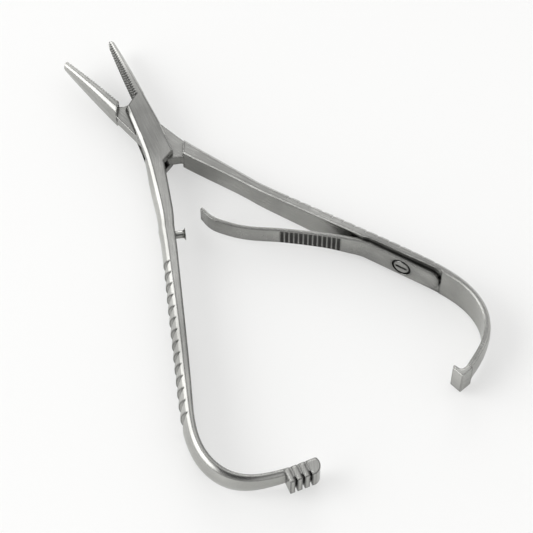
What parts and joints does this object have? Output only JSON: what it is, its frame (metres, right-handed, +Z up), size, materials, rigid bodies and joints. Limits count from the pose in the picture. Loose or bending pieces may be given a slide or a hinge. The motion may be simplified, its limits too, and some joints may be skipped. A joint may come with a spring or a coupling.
{
  "type": "surgical needle holder",
  "caption": "Spring-handled surgical needle holder in stainless steel: box joint, cross-cut jaws, scalloped handles, leaf spring, hand-end ratchet block and hook.",
  "frame": {"origin": "on the pivot axis, in the plane of the box joint's underside", "axes": "+X points to the jaw tips along the line of symmetry, +Z is up out of the box's top face along the pivot pin, +Y is toward the box arm's handle"},
  "size_m": [0.1367, 0.0798, 0.01],
  "materials": {
    "satin_steel": "satin brushed stainless steel",
    "spring_steel": "satin spring steel",
    "screw_steel": "fine turned stainless steel"
  },
  "bodies": {
    "box_side": {"box_arm": "satin_steel", "joint_pin": "satin_steel", "stop_stud": "screw_steel"},
    "through_side": {"through_arm": "satin_steel", "leaf_spring": "spring_steel", "spring_screw": "screw_steel"}
  },
  "joints": [
    {"name": "pivot", "type": "hinge", "parent": "box_side", "child": "through_side", "pos_m": [0, 0, 0], "axis": [0, 0, 1], "range_deg": [-20.5, 0], "stiffness_Nm_per_rad": 1.6, "deforming": ["leaf_spring"]}
  ]
}
